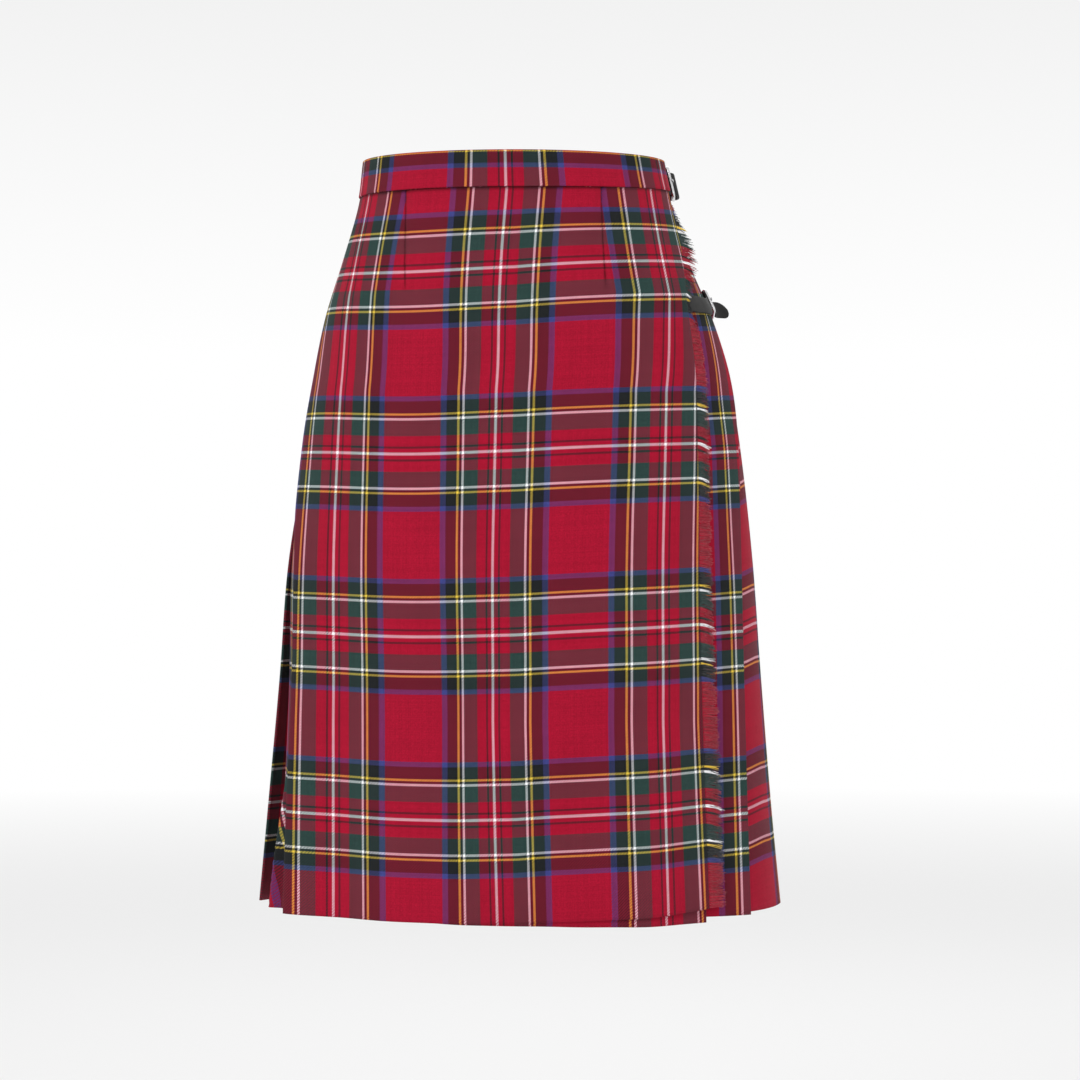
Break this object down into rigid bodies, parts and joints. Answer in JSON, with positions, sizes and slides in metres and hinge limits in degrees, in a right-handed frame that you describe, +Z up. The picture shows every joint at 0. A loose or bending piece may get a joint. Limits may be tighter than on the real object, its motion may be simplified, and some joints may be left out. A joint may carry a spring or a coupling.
{
  "type": "tartan wrap skirt",
  "caption": "Knee-length kilted wrap skirt in red tartan: flat fringed over-apron, under-apron, knife-pleated back, waistband and leather strap-and-buckle fastenings.",
  "frame": {"origin": "middle of the waist opening, level with the top edge of the waistband", "axes": "+X towards the wearer's left, +Y towards the wearer's back, +Z up"},
  "size_m": [0.4459, 0.3188, 0.6345],
  "materials": {
    "tartan_wool": "matt worsted wool twill, red tartan",
    "black_leather": "semi-gloss black strap leather",
    "nickel": "polished nickel plate"
  },
  "bodies": {
    "root": {"waistband": "tartan_wool", "over_apron": "tartan_wool", "over_apron_fringe": "tartan_wool", "under_apron": "tartan_wool", "back_pleats": "tartan_wool", "waist_strap": "black_leather", "waist_strap_tab": "black_leather", "waist_buckle": "nickel", "waist_buckle_prong": "nickel", "hip_strap": "black_leather", "hip_strap_tab": "black_leather", "hip_buckle": "nickel", "hip_buckle_prong": "nickel"}
  },
  "joints": []
}
